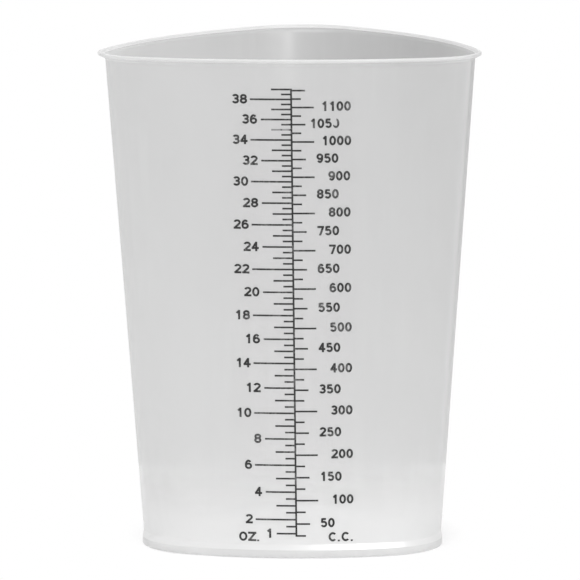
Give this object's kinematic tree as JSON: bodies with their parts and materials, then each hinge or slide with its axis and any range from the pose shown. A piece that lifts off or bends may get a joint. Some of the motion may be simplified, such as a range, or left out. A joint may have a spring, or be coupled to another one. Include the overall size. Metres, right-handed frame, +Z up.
{
  "type": "graduated mixing cup",
  "caption": "Three-cornered translucent mixing cup with a flared pouring lip, a foot ring and a printed ounce and cubic centimetre scale.",
  "frame": {"origin": "on the cup's upright axis, in the plane that the foot ring stands on", "axes": "+Z up the cup, from foot to rim; -Y out of the printed side; +Y through the back pouring corner; +X to the right as the scale is read"},
  "size_m": [0.1224, 0.1183, 0.1608],
  "materials": {
    "cup": "natural translucent polypropylene, smooth and softly shining",
    "ink": "black printed ink, satin"
  },
  "bodies": {
    "root": {"cc_numeral_100": "ink", "cc_numeral_1000": "ink", "cc_numeral_1050": "ink", "cc_numeral_1100": "ink", "cc_numeral_150": "ink", "cc_numeral_200": "ink", "cc_numeral_250": "ink", "cc_numeral_300": "ink", "cc_numeral_350": "ink", "cc_numeral_400": "ink", "cc_numeral_450": "ink", "cc_numeral_50": "ink", "cc_numeral_500": "ink", "cc_numeral_550": "ink", "cc_numeral_600": "ink", "cc_numeral_650": "ink", "cc_numeral_700": "ink", "cc_numeral_750": "ink", "cc_numeral_800": "ink", "cc_numeral_850": "ink", "cc_numeral_900": "ink", "cc_numeral_950": "ink", "cc_ticks": "ink", "cc_unit": "ink", "cup_body": "cup", "ounce_numeral_1": "ink", "ounce_numeral_10": "ink", "ounce_numeral_12": "ink", "ounce_numeral_14": "ink", "ounce_numeral_16": "ink", "ounce_numeral_18": "ink", "ounce_numeral_2": "ink", "ounce_numeral_20": "ink", "ounce_numeral_22": "ink", "ounce_numeral_24": "ink", "ounce_numeral_26": "ink", "ounce_numeral_28": "ink", "ounce_numeral_30": "ink", "ounce_numeral_32": "ink", "ounce_numeral_34": "ink", "ounce_numeral_36": "ink", "ounce_numeral_38": "ink", "ounce_numeral_4": "ink", "ounce_numeral_6": "ink", "ounce_numeral_8": "ink", "ounce_ticks": "ink", "ounce_unit": "ink", "scale_spine": "ink"}
  },
  "joints": []
}
